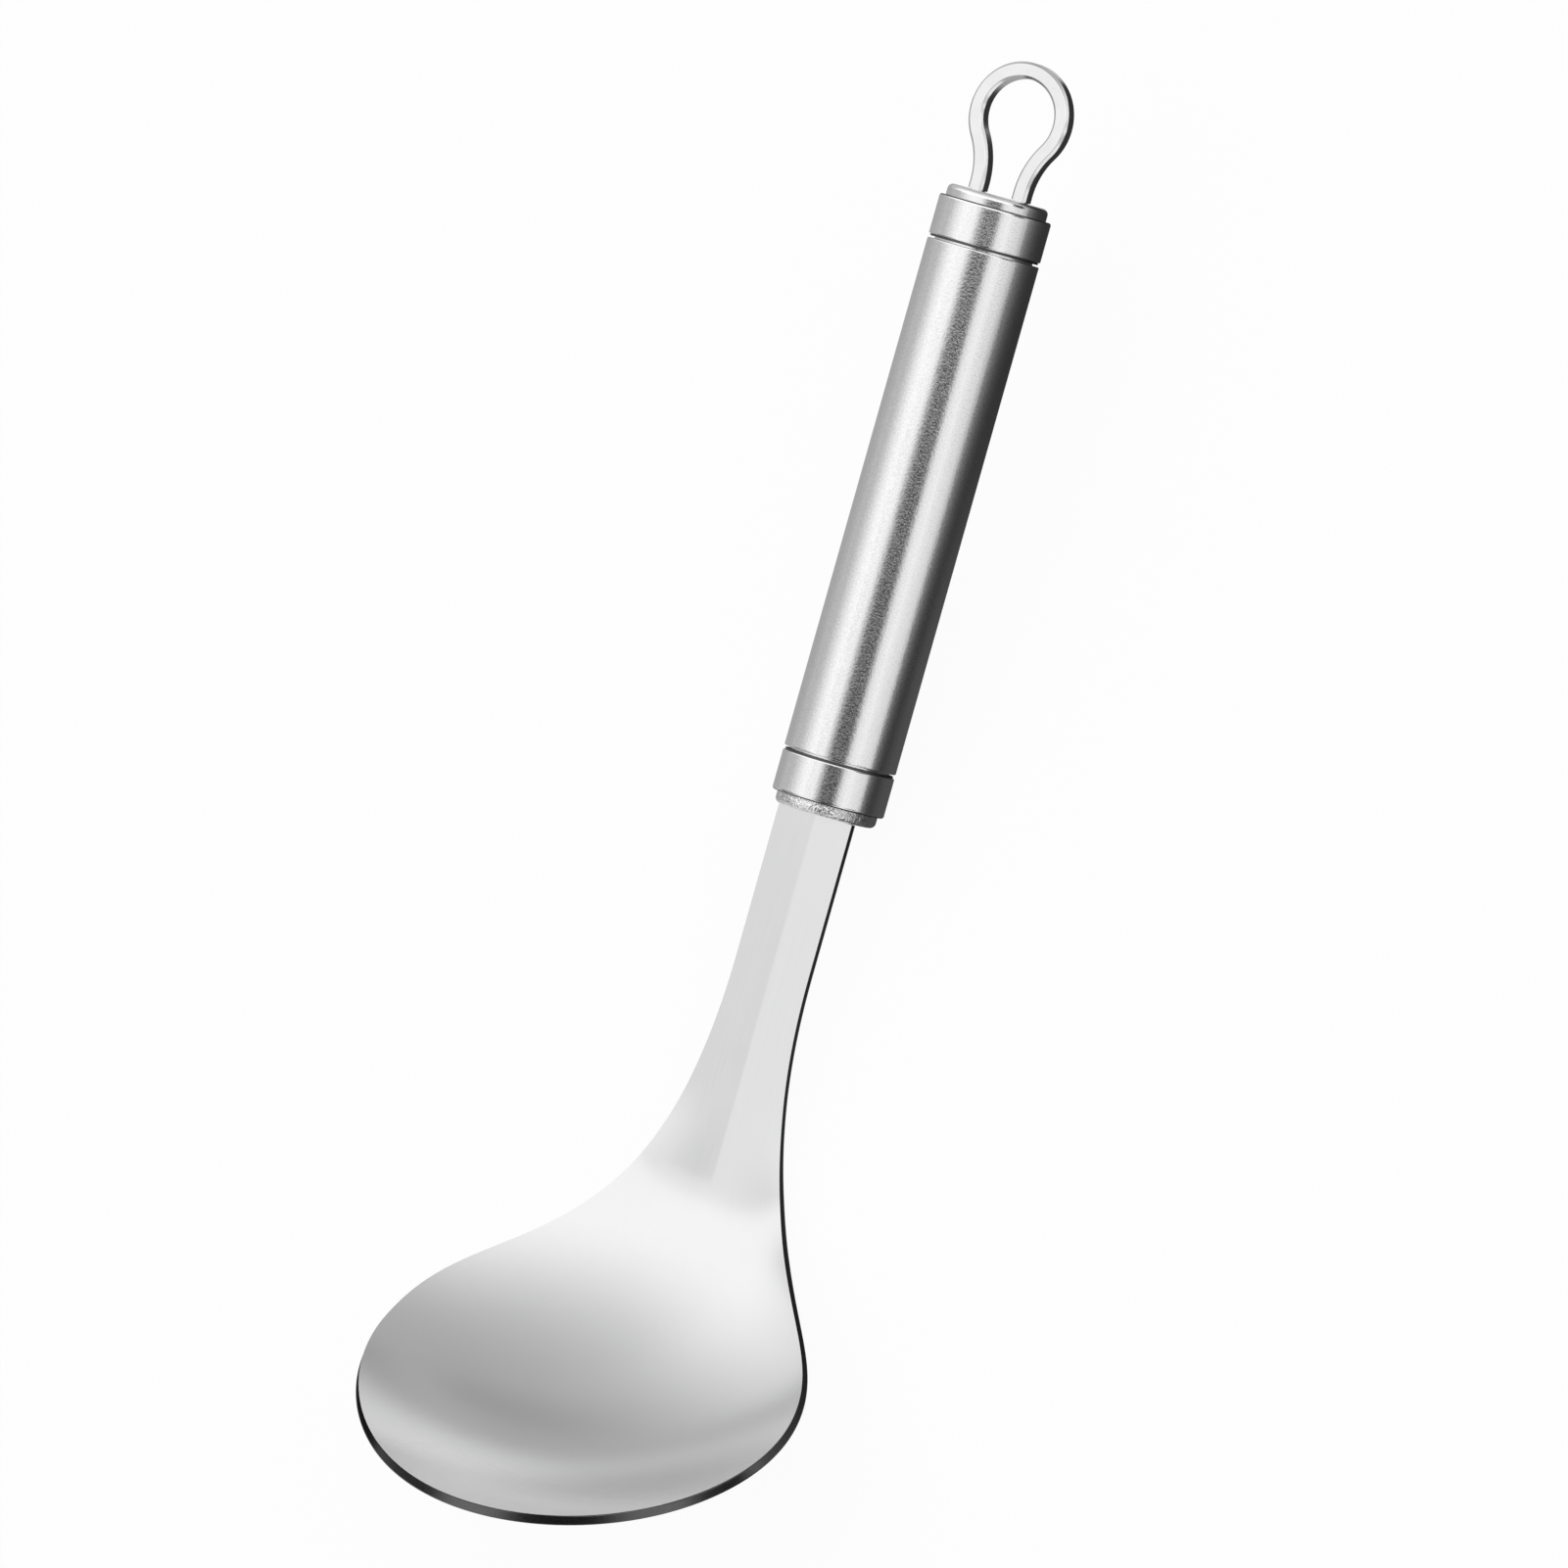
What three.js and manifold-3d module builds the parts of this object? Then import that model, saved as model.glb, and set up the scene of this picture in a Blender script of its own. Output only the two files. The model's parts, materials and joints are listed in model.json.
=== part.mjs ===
// Meatball scoop: a stamped steel spoon on a round tube handle with a wire hanging loop.
// Millimetres. The tool lies at rest on the plane z = 0, with its bowl towards -Y and its loop towards +Y.
import * as THREE from 'three';
import { mergeVertices } from 'three/addons/utils/BufferGeometryUtils.js';
import Module from 'manifold-3d';

const wasm = await Module();
wasm.setup();

// Clearance between pieces that fit together
const FIT_GAP = 0.3;

// Handle tube
const TUBE_DIAMETER = 18;
const TUBE_WALL = 0.8;
const TUBE_LENGTH = 82.2;
const TUBE_EDGE = 0.2;

// Collars: a spigot in the tube, a neck at the shadow groove and a ring round the plug
const GROOVE_WIDTH = 0.9;
const TUBE_SEAT = 0.5;
const SPIGOT_LENGTH = 6;
const SPIGOT_WALL = 1;
const COLLAR_LENGTH = 6.2;
const COLLAR_WEB = 2.2;
const COLLAR_LIP = 0.6;
const COLLAR_EDGE_RADIUS = 0.4;
const COLLAR_CHAMFER = 0.2;

// End plugs
const PLUG_PROUD = 1.9;
const PLUG_EDGE_RADIUS = 1.4;

// Hanging loop: square wire with two legs, headed over behind the rear plug
const WIRE_WIDTH = 2.6;
const WIRE_THICKNESS = 2.6;
const WIRE_CHAMFER = 0.3;
const LEG_SPACING = 7.8;
const LEG_STRAIGHT = 1;
const LOOP_ARC_RADIUS = 7.4;
const LOOP_FLARE_RADIUS = 13;
const LEG_STEP = 0.3;
const HEAD_DIAMETER = 3.6;
const HEAD_THICKNESS = 1;

// Blade sheet and shank
const SHEET = 1.5;
const SHANK_WIDTH = 12.7;
const SHANK_LENGTH = 24.5;
const SHANK_OFFSET = 2.9;
const FOLD_ANGLE = THREE.MathUtils.degToRad(1.5);
const CREASE_LENGTH = 68;
const CREASE_FADE = 16;
const SHOULDER_LENGTH = 0.1;

// Bowl: the floor curves lengthways and crossways, and the outline flares from the shank to the wings
const BOWL_WIDTH = 70.8;
const BOWL_START = 58.5;
const FLOOR_RADIUS = 55.5;
const FLOOR_SWEEP = THREE.MathUtils.degToRad(86);
const WIDEST_SWEEP = THREE.MathUtils.degToRad(48.5);
const DISH_START = 45;
const DISH_END = 68;
const THROAT_RADIUS = 50;
const CROSS_RADIUS = 66.5;
const THROAT_PULL = 52;
const WING_PULL = 30;

// Tang and the moulded core that grips it inside the tube
const TANG_WIDTH = 8;
const TANG_GRIP = 30;
const CORE_FLOOR = 6;

// Facets
const ROUND_SEGMENTS = 48;
const FILLET_SEGMENTS = 2;
const LOOP_STEPS = 52;
const ACROSS_STEPS = 24;
const TANG_STEPS = 4;
const SHANK_STEPS = 4;
const FLARE_STEPS = 26;
const FRONT_STEPS = 15;
const WELD_DISTANCE = 1e-4;
const NORMAL_STEP = 0.01;

// Radii of the handle, from the tube inwards
const tubeRadius = TUBE_DIAMETER / 2;
const tubeBore = tubeRadius - TUBE_WALL;
const neckRadius = tubeBore + TUBE_SEAT;
const spigotRadius = tubeBore - FIT_GAP;
const collarBore = spigotRadius - SPIGOT_WALL;
const seatRadius = tubeRadius - COLLAR_LIP;
const plugRadius = seatRadius - FIT_GAP;
const coreRadius = tubeBore - FIT_GAP;
const collarEdge = Math.min(COLLAR_EDGE_RADIUS, COLLAR_LIP);
const plugEdge = Math.min(PLUG_EDGE_RADIUS, PLUG_PROUD);

// Distances from the middle of the tube to each end of the handle
const tubeEnd = TUBE_LENGTH / 2;
const spigotEnd = tubeEnd - SPIGOT_LENGTH;
const neckStart = tubeEnd + FIT_GAP;
const collarStart = tubeEnd + GROOVE_WIDTH;
const seatFloor = collarStart + COLLAR_WEB;
const collarEnd = collarStart + COLLAR_LENGTH;
const plugBack = seatFloor + FIT_GAP;
const plugFace = collarEnd + PLUG_PROUD;

// Distances along the blade's centre line, from the front plug's face
const coreStart = spigotEnd - FIT_GAP;
const tangReach = plugFace - coreStart + TANG_GRIP;
const widestStart = BOWL_START + FLOOR_RADIUS * WIDEST_SWEEP;
const frontLength = FLOOR_RADIUS * (FLOOR_SWEEP - WIDEST_SWEEP);
const foldSlope = Math.tan(FOLD_ANGLE);

// Closed solid for cutting and joining, with shared corners welded and empty triangles dropped
function toSolid(geometry) {
  const bare = geometry.clone();
  bare.deleteAttribute('normal');
  bare.deleteAttribute('uv');
  const welded = mergeVertices(bare, WELD_DISTANCE);
  const corners = welded.index.array;
  const triVerts = [];
  for (let i = 0; i < corners.length; i += 3) {
    const [a, b, c] = corners.slice(i, i + 3);
    if (a !== b && b !== c && c !== a) triVerts.push(a, b, c);
  }
  const mesh = new wasm.Mesh({
    numProp: 3,
    vertProperties: new Float32Array(welded.attributes.position.array),
    triVerts: new Uint32Array(triVerts),
  });
  return new wasm.Manifold(mesh);
}

function toGeometry(solid) {
  const { vertProperties, triVerts } = solid.getMesh();
  const geometry = new THREE.BufferGeometry();
  geometry.setAttribute('position', new THREE.BufferAttribute(vertProperties, 3));
  geometry.setIndex(new THREE.BufferAttribute(triVerts, 1));
  geometry.computeVertexNormals();
  return geometry;
}

function boxAt(width, length, height, x, y, z) {
  return new THREE.BoxGeometry(width, length, height).translate(x, y, z);
}

function lathe(path) {
  return new THREE.LatheGeometry(path.getPoints(FILLET_SEGMENTS), ROUND_SEGMENTS);
}

// Loft of closed rings, each running along its upper side and back along its lower side
function loft(rings) {
  const size = rings[0].length;
  const index = [];
  const quad = (a, b, c, d) => index.push(a, b, c, a, c, d);
  for (let ring = 0; ring + 1 < rings.length; ring++) {
    const here = ring * size;
    const ahead = here + size;
    for (let i = 0; i < size; i++) {
      const next = (i + 1) % size;
      quad(here + i, ahead + i, ahead + next, here + next);
    }
  }
  const last = (rings.length - 1) * size;
  for (let i = 0; i + 1 < size / 2; i++) {
    const below = size - 1 - i;
    quad(i, i + 1, below - 1, below);
    quad(last + below, last + below - 1, last + i + 1, last + i);
  }
  return new THREE.BufferGeometry().setFromPoints(rings.flat()).setIndex(index);
}

// Tube with its end edges broken
function tubeGeometry() {
  const edge = Math.min(TUBE_EDGE, TUBE_WALL / 2);
  const path = new THREE.Path();
  path.moveTo(tubeBore, -tubeEnd);
  path.lineTo(tubeRadius - edge, -tubeEnd);
  path.lineTo(tubeRadius, -tubeEnd + edge);
  path.lineTo(tubeRadius, tubeEnd - edge);
  path.lineTo(tubeRadius - edge, tubeEnd);
  path.lineTo(tubeBore, tubeEnd);
  path.lineTo(tubeBore, -tubeEnd);
  return lathe(path);
}

// Collar for the loop end: spigot, neck, ring with a rounded outer edge, and a seat for the plug
function collarGeometry() {
  const chamfer = Math.min(COLLAR_CHAMFER, COLLAR_WEB);
  const path = new THREE.Path();
  path.moveTo(collarBore, spigotEnd);
  path.lineTo(spigotRadius, spigotEnd);
  path.lineTo(spigotRadius, neckStart);
  path.lineTo(neckRadius, neckStart);
  path.lineTo(neckRadius, collarStart);
  path.lineTo(tubeRadius - chamfer, collarStart);
  path.lineTo(tubeRadius, collarStart + chamfer);
  path.lineTo(tubeRadius, collarEnd - collarEdge);
  path.absarc(tubeRadius - collarEdge, collarEnd - collarEdge, collarEdge, 0, Math.PI / 2, false);
  path.lineTo(seatRadius, collarEnd);
  path.lineTo(seatRadius, seatFloor);
  path.lineTo(collarBore, seatFloor);
  path.lineTo(collarBore, spigotEnd);
  return lathe(path);
}

// Plug for the loop end, standing proud of the collar with a rounded rim
function plugGeometry() {
  const path = new THREE.Path();
  path.moveTo(0, plugBack);
  path.lineTo(plugRadius, plugBack);
  path.lineTo(plugRadius, plugFace - plugEdge);
  path.absarc(plugRadius - plugEdge, plugFace - plugEdge, plugEdge, 0, Math.PI / 2, false);
  path.lineTo(0, plugFace);
  return lathe(path);
}

// Straight slot that clears the folded tang, from one distance behind the plug's face to another
function tangSlot(from, to) {
  const foldDepth = foldSlope * TANG_WIDTH / 2;
  const width = TANG_WIDTH + 2 * FIT_GAP;
  const height = SHEET + foldDepth + 2 * FIT_GAP;
  const middle = SHANK_OFFSET + (foldDepth - SHEET) / 2;
  return toSolid(boxAt(width, to - from, height, 0, (from + to) / 2, middle));
}

// Front plug, made in the loop end's place and turned round later
function frontPlugGeometry() {
  const slot = tangSlot(plugBack - FIT_GAP, plugFace + FIT_GAP);
  return toGeometry(toSolid(plugGeometry()).subtract(slot));
}

// Moulded core inside the tube, with a blind slot for the tang
function coreGeometry() {
  const coreLength = TANG_GRIP + CORE_FLOOR;
  const core = new THREE.CylinderGeometry(coreRadius, coreRadius, coreLength, ROUND_SEGMENTS);
  core.translate(0, coreStart - coreLength / 2, 0);
  const slot = tangSlot(coreStart - TANG_GRIP - FIT_GAP, coreStart + FIT_GAP);
  return toGeometry(toSolid(core).subtract(slot));
}

// Legs of the loop inside the rear plug, drawn down to a smaller section
const legPinWidth = WIRE_WIDTH - 2 * LEG_STEP;
const legPinThickness = WIRE_THICKNESS - 2 * LEG_STEP;
const legX = LEG_SPACING / 2;
const headFront = plugBack - FIT_GAP;
const headRadius = HEAD_DIAMETER / 2;

function rearPlugGeometry() {
  let plug = toSolid(plugGeometry());
  const depth = plugFace - plugBack + 2 * FIT_GAP;
  for (const side of [-1, 1]) {
    const hole = boxAt(
      legPinWidth + 2 * FIT_GAP,
      depth,
      legPinThickness + 2 * FIT_GAP,
      side * legX,
      (plugBack + plugFace) / 2,
      0,
    );
    plug = plug.subtract(toSolid(hole));
  }
  return toGeometry(plug);
}

// Heights of the loop's parts above the middle of the tube
const legFoot = plugFace + FIT_GAP;
const flareStart = legFoot + LEG_STRAIGHT;
const flareX = legX + LOOP_FLARE_RADIUS;
const eyeRise = Math.sqrt((LOOP_ARC_RADIUS + LOOP_FLARE_RADIUS) ** 2 - flareX ** 2);
const eyeCentre = flareStart + eyeRise;

// Keyhole outline along the middle of the wire: leg, flare, round eye, flare, leg
function keyholePath() {
  const turn = Math.atan2(eyeRise, flareX);
  const path = new THREE.Path();
  path.moveTo(-legX, legFoot);
  path.lineTo(-legX, flareStart);
  path.absarc(-flareX, flareStart, LOOP_FLARE_RADIUS, 0, turn, false);
  path.absarc(0, eyeCentre, LOOP_ARC_RADIUS, Math.PI + turn, -turn, true);
  path.absarc(flareX, flareStart, LOOP_FLARE_RADIUS, Math.PI - turn, Math.PI, false);
  path.lineTo(legX, legFoot);
  return path;
}

// Ring round the wire at one point of its path, with the section's corners broken
function wireRing(point, tangent) {
  const halfWide = WIRE_WIDTH / 2;
  const halfThick = WIRE_THICKNESS / 2;
  const place = (wide, thick) =>
    new THREE.Vector3(point.x - wide * tangent.y, point.y + wide * tangent.x, thick);
  const flatEdge = halfWide - WIRE_CHAMFER;
  const sideEdge = halfThick - WIRE_CHAMFER;
  return [
    place(-halfWide, sideEdge),
    place(-flatEdge, halfThick),
    place(flatEdge, halfThick),
    place(halfWide, sideEdge),
    place(halfWide, -sideEdge),
    place(flatEdge, -halfThick),
    place(-flatEdge, -halfThick),
    place(-halfWide, -sideEdge),
  ];
}

function loopGeometry() {
  const path = keyholePath();
  const rings = [];
  for (let i = 0; i <= LOOP_STEPS; i++) {
    rings.push(wireRing(path.getPointAt(i / LOOP_STEPS), path.getTangentAt(i / LOOP_STEPS)));
  }
  let loop = toSolid(loft(rings));
  const pinTop = legFoot + LEG_STRAIGHT / 2;
  const pinBottom = headFront - HEAD_THICKNESS / 2;
  for (const side of [-1, 1]) {
    const pinMiddle = (pinTop + pinBottom) / 2;
    const pin = boxAt(legPinWidth, pinTop - pinBottom, legPinThickness, side * legX, pinMiddle, 0);
    const head = new THREE.CylinderGeometry(headRadius, headRadius, HEAD_THICKNESS, ROUND_SEGMENTS / 2);
    head.translate(side * legX, headFront - HEAD_THICKNESS / 2, 0);
    loop = loop.add(toSolid(pin)).add(toSolid(head));
  }
  return toGeometry(loop);
}

// Point on the blade's upper face at a length along its centre line and a distance across it
function bladeFace(along, across) {
  const turn = Math.max(0, along - BOWL_START) / FLOOR_RADIUS;
  const straight = Math.min(along, BOWL_START);
  const floorY = -plugFace - straight - FLOOR_RADIUS * Math.sin(turn);
  const floorZ = SHANK_OFFSET + FLOOR_RADIUS * (1 - Math.cos(turn));
  const faded = THREE.MathUtils.smoothstep(along, CREASE_LENGTH - CREASE_FADE, CREASE_LENGTH);
  const fold = foldSlope * (1 - faded);
  const opened = THREE.MathUtils.smoothstep(along, BOWL_START, widestStart);
  const curve = THREE.MathUtils.lerp(1 / THROAT_RADIUS, 1 / CROSS_RADIUS, opened);
  const dish = curve / 2 * THREE.MathUtils.smoothstep(along, DISH_START, DISH_END);
  const rise = fold * Math.abs(across) + dish * across ** 2;
  return new THREE.Vector3(across, floorY + rise * Math.sin(turn), floorZ + rise * Math.cos(turn));
}

// Point on the lower face, one sheet thickness below the upper one
function bladeBack(along, across) {
  const alongStep = bladeFace(along + NORMAL_STEP, across).sub(bladeFace(along - NORMAL_STEP, across));
  const acrossStep = bladeFace(along, across + NORMAL_STEP).sub(bladeFace(along, across - NORMAL_STEP));
  const normal = acrossStep.cross(alongStep).normalize();
  return bladeFace(along, across).addScaledVector(normal, SHEET);
}

// Cross lines of the blade, each a function from -1 to 1 across to a place on the sheet
function bladeLines() {
  const lines = [];
  const level = (along, halfWidth) => lines.push((q) => [along, q * halfWidth]);
  for (let i = 0; i <= TANG_STEPS; i++) {
    level(THREE.MathUtils.lerp(-tangReach, FIT_GAP, i / TANG_STEPS), TANG_WIDTH / 2);
  }
  const shoulder = FIT_GAP + SHOULDER_LENGTH;
  for (let i = 0; i < SHANK_STEPS; i++) {
    level(THREE.MathUtils.lerp(shoulder, SHANK_LENGTH, i / SHANK_STEPS), SHANK_WIDTH / 2);
  }
  const flare = new THREE.CubicBezierCurve(
    new THREE.Vector2(SHANK_LENGTH, SHANK_WIDTH / 2),
    new THREE.Vector2(SHANK_LENGTH + THROAT_PULL, SHANK_WIDTH / 2),
    new THREE.Vector2(widestStart - WING_PULL, BOWL_WIDTH / 2),
    new THREE.Vector2(widestStart, BOWL_WIDTH / 2),
  );
  for (let i = 0; i <= FLARE_STEPS; i++) {
    const point = flare.getPoint(i / FLARE_STEPS);
    level(point.x, point.y);
  }
  // The front of the outline is half an ellipse, filled by a square grid bent to its curve
  for (let i = 1; i <= FRONT_STEPS; i++) {
    const a = i / FRONT_STEPS;
    lines.push((q) => [
      widestStart + frontLength * a * Math.sqrt(1 - q ** 2 / 2),
      q * Math.sqrt(1 - a ** 2 / 2) * BOWL_WIDTH / 2,
    ]);
  }
  return lines;
}

// Blade: each ring is the upper face from left to right and the lower face back again
function bladeGeometry() {
  const rings = bladeLines().map((line) => {
    const row = [];
    for (let i = 0; i <= ACROSS_STEPS; i++) row.push(line(2 * i / ACROSS_STEPS - 1));
    const face = row.map(([along, across]) => bladeFace(along, across));
    const back = row.map(([along, across]) => bladeBack(along, across));
    return [...face, ...back.reverse()];
  });
  return loft(rings);
}

// Finishes: satin on the handle, bright on the blade and wire, dark moulding inside
function steel(color, roughness) {
  return new THREE.MeshStandardMaterial({ color, roughness, metalness: 1 });
}

function piece(name, geometry, material) {
  const mesh = new THREE.Mesh(geometry, material);
  mesh.name = name;
  return mesh;
}

// Pieces of the blade end are made at the loop end and turned half round about the upright axis
function turned(mesh) {
  mesh.rotation.z = Math.PI;
  return mesh;
}

const tool = new THREE.Group();
tool.add(
  piece('spoon_blade', bladeGeometry(), steel(0xd6d6d8, 0.12)),
  piece('handle_tube', tubeGeometry(), steel(0xb9babc, 0.32)),
  turned(piece('front_collar', collarGeometry(), steel(0xbdbec0, 0.28))),
  turned(piece('front_plug', frontPlugGeometry(), steel(0xc4c5c7, 0.2))),
  piece('rear_collar', collarGeometry(), steel(0xbdbec0, 0.28)),
  piece('rear_plug', rearPlugGeometry(), steel(0xc4c5c7, 0.2)),
  piece('hanging_loop', loopGeometry(), steel(0xcfcfd1, 0.15)),
);
const coreMaterial = new THREE.MeshStandardMaterial({ color: 0x2b2c2e, roughness: 0.7, metalness: 0 });
tool.add(turned(piece('tang_core', coreGeometry(), coreMaterial)));

// At rest the front collar's edge and the back of the bowl touch the table, and the loop end is raised
const bowlCentreAhead = plugFace + BOWL_START - (collarEnd - collarEdge);
const bowlCentreAbove = SHANK_OFFSET + FLOOR_RADIUS + tubeRadius - collarEdge;
const centreDistance = Math.hypot(bowlCentreAhead, bowlCentreAbove);
const bowlDrop = Math.asin((FLOOR_RADIUS + SHEET - collarEdge) / centreDistance);
tool.rotation.x = Math.atan2(bowlCentreAbove, bowlCentreAhead) - bowlDrop;

// The origin is on the table, below the middle of the tool's length
const box = new THREE.Box3().setFromObject(tool, true);
tool.position.set(0, -(box.min.y + box.max.y) / 2, -box.min.z);

const scoop = new THREE.Group();
scoop.name = 'meatball_scoop';
scoop.add(tool);

export default scoop;
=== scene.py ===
"""Meatball scoop: a polished steel blade on a satin tube handle with a wire loop to hang it by.

Every piece is made in the handle's own frame, in metres: the origin is the middle of the tube,
Y runs along the handle to the loop and Z to the open side of the bowl. One matrix, taken from the
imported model, then lays the tool at rest on the table.
"""
import json
import math

import bmesh
import bpy
from bpy.props import FloatProperty, FloatVectorProperty, IntProperty, PointerProperty
from mathutils import Matrix, Vector


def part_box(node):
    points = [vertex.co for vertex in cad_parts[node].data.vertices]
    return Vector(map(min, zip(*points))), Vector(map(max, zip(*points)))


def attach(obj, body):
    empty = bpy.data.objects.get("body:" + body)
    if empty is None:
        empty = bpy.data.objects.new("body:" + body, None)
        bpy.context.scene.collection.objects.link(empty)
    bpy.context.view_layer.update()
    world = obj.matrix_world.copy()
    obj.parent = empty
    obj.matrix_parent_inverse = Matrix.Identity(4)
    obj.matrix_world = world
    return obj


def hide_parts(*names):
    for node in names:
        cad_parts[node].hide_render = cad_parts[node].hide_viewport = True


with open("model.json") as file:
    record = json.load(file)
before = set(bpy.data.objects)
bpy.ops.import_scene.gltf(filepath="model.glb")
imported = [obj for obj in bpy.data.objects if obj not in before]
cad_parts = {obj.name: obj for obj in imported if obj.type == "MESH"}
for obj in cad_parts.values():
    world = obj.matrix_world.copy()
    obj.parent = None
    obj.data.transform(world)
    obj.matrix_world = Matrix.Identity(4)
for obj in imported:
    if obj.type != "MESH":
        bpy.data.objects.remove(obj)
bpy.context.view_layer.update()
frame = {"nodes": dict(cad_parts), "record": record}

bl_info = {
    "name": "Meatball Scoop",
    "version": (1, 0, 0),
    "blender": (4, 5, 0),
    "location": "3D View > Sidebar > Scoop",
    "description": "Builds a steel meatball scoop, piece by piece, around its packed frame",
    "category": "Add Mesh",
}

MM = 0.001
QUARTER = math.pi / 2

# Edges that turn further than this stay crisp, and faces keep flat up to a brace beside such an edge
SHARP_ANGLE = math.radians(32)
BRACE = 0.06 * MM
# Points closer than this become one
WELD = 1e-7

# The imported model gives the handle's place, its lean on the table and the tube's own sizes
loop_axis = next(m["axis"] for m in frame["record"]["mounts"] if m["name"] == "loop_flat")
handle_lean = math.atan2(-loop_axis[1], loop_axis[2])
tube_low, tube_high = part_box("handle_tube")
tube_middle = (tube_low + tube_high) / 2
tube_across = tube_high.x - tube_low.x
tube_reach = tube_high.y - tube_low.y - tube_across * math.sin(handle_lean)
HANDLE_FRAME = Matrix.Translation(tube_middle) @ Matrix.Rotation(handle_lean, 4, "X")
END_TURN = Matrix.Rotation(math.pi, 4, "Z")


def length(name, description, millimetres):
    """A size that a user may change, shown in the scene's unit of length."""
    return FloatProperty(
        name=name,
        description=description,
        default=millimetres * MM,
        min=0,
        precision=4,
        subtype="DISTANCE",
        unit="LENGTH",
    )


def angle(name, description, degrees):
    """An angle that a user may change."""
    return FloatProperty(
        name=name,
        description=description,
        default=math.radians(degrees),
        subtype="ANGLE",
        unit="ROTATION",
    )


def share(name, description, default):
    """A plain number between nothing and a few times one."""
    return FloatProperty(name=name, description=description, default=default, min=0, soft_max=2)


def colour(name, description, default):
    """A surface colour, in linear light."""
    return FloatVectorProperty(
        name=name,
        description=description,
        default=default,
        size=3,
        min=0,
        max=1,
        subtype="COLOR",
    )


class BladeSettings(bpy.types.PropertyGroup):
    """Sizes of the stamped sheet, along its middle line from the front plug and across it."""

    sheet: length("Sheet", "Thickness of the steel sheet", 1.5)
    rim_round: length("Rim round", "Radius on the upper edge of the cut rim", 0.28)
    rim_burr: length("Rim underside", "Radius on the lower edge of the cut rim", 0.08)
    tang_width: length("Tang width", "Width of the tongue inside the handle", 8)
    tang_reach: length("Tang reach", "How far the tongue runs into the handle", 45.3)
    shank_width: length("Shank width", "Width of the flat shank", 12.7)
    shank_length: length("Shank length", "Length of the shank before it flares", 24.5)
    shank_offset: length("Shank offset", "Height of the shank over the handle's middle", 2.9)
    fold: angle("Fold", "Slope of the shank's two sides from the crease", 1.5)
    crease_round: length("Crease round", "Softening at the bottom of the crease", 0.12)
    crease_length: length("Crease length", "Where the crease has run out", 68)
    crease_fade: length("Crease fade", "Length over which the crease runs out", 16)
    bowl_width: length("Bowl width", "Width between the wings of the bowl", 70.8)
    bowl_start: length("Bowl start", "Where the floor begins to curve up", 58.5)
    floor_radius: length("Floor radius", "Lengthways curve of the floor", 55.5)
    floor_sweep: angle("Floor sweep", "Turn of the floor up to the front rim", 86)
    widest_sweep: angle("Widest sweep", "Turn of the floor where the bowl is widest", 48.5)
    dish_start: length("Dish start", "Where the shank begins to dish", 45)
    dish_end: length("Dish end", "Where the throat has its full dish", 68)
    throat_radius: length("Throat radius", "Crossways curve at the throat", 50)
    cross_radius: length("Cross radius", "Crossways curve of the bowl", 66.5)
    throat_pull: length("Throat pull", "How long the outline stays narrow", 52)
    wing_pull: length("Wing pull", "How long the outline stays wide", 30)
    tint: colour("Tint", "Colour of the polished sheet", (0.70, 0.70, 0.705))


class HandleSettings(bpy.types.PropertyGroup):
    """Sizes of the tube, its two collars and the plugs that close them."""

    tube_diameter: length("Tube diameter", "Outside of the tube", tube_across / MM)
    tube_length: length(
        "Tube length", "Length of the tube", tube_reach / math.cos(handle_lean) / MM
    )
    tube_wall: length("Tube wall", "Wall of the tube", 0.8)
    tube_edge: length("Tube edge", "Radius on the tube's end edges", 0.2)
    groove: length("Groove", "Shadow gap between tube and collar", 0.9)
    fit_gap: length("Fit gap", "Clearance between pieces that fit together", 0.3)
    seat_step: length("Seat step", "Step of the collar's neck over the tube's bore", 0.5)
    spigot_length: length("Spigot length", "How far the collar goes into the tube", 6)
    spigot_wall: length("Spigot wall", "Wall of the collar inside the tube", 1)
    collar_length: length("Collar length", "Length of the ring that shows", 6.2)
    collar_web: length("Collar web", "Depth from the ring's back to the plug's seat", 2.2)
    collar_lip: length("Collar lip", "Wall of the ring round the plug", 0.6)
    collar_edge: length("Collar edge", "Radius on the ring's outer edge", 0.4)
    collar_chamfer: length("Collar chamfer", "Broken edge at the groove", 0.2)
    plug_proud: length("Plug proud", "How far the plug stands out of the ring", 1.9)
    plug_edge: length("Plug edge", "Radius on the plug's rim", 0.9)
    satin_tint: colour("Satin tint", "Colour of the brushed tube and rings", (0.86, 0.86, 0.865))
    plug_tint: colour("Plug tint", "Colour of the turned plugs", (0.84, 0.84, 0.845))
    core_tint: colour("Core tint", "Colour of the moulding in the tube", (0.03, 0.03, 0.032))
    segments: IntProperty(
        name="Segments", description="Sides of the turned pieces", default=128, min=16
    )


class LoopSettings(bpy.types.PropertyGroup):
    """Sizes of the wire loop at the handle's end."""

    wire_width: length("Wire width", "Wire across the loop's plane", 2.6)
    wire_thickness: length("Wire thickness", "Wire through the loop's plane", 2.6)
    wire_bevel: length("Wire bevel", "Bevel along the wire's corners", 0.42)
    wire_edge: length("Wire edge", "Radius on the edges of that bevel", 0.1)
    leg_spacing: length("Leg spacing", "Distance between the two legs", 7.8)
    leg_straight: length("Leg straight", "Straight part of each leg", 1)
    leg_step: length("Leg step", "How much each leg is drawn down in the plug", 0.3)
    eye_radius: length("Eye radius", "Middle of the wire round the eye", 7.4)
    flare_radius: length("Flare radius", "Bend from each leg to the eye", 13)
    head_diameter: length("Head diameter", "Headed-over end of each leg", 3.6)
    head_thickness: length("Head thickness", "Height of that head", 1)
    tint: colour("Tint", "Colour of the drawn wire", (0.78, 0.78, 0.785))


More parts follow.
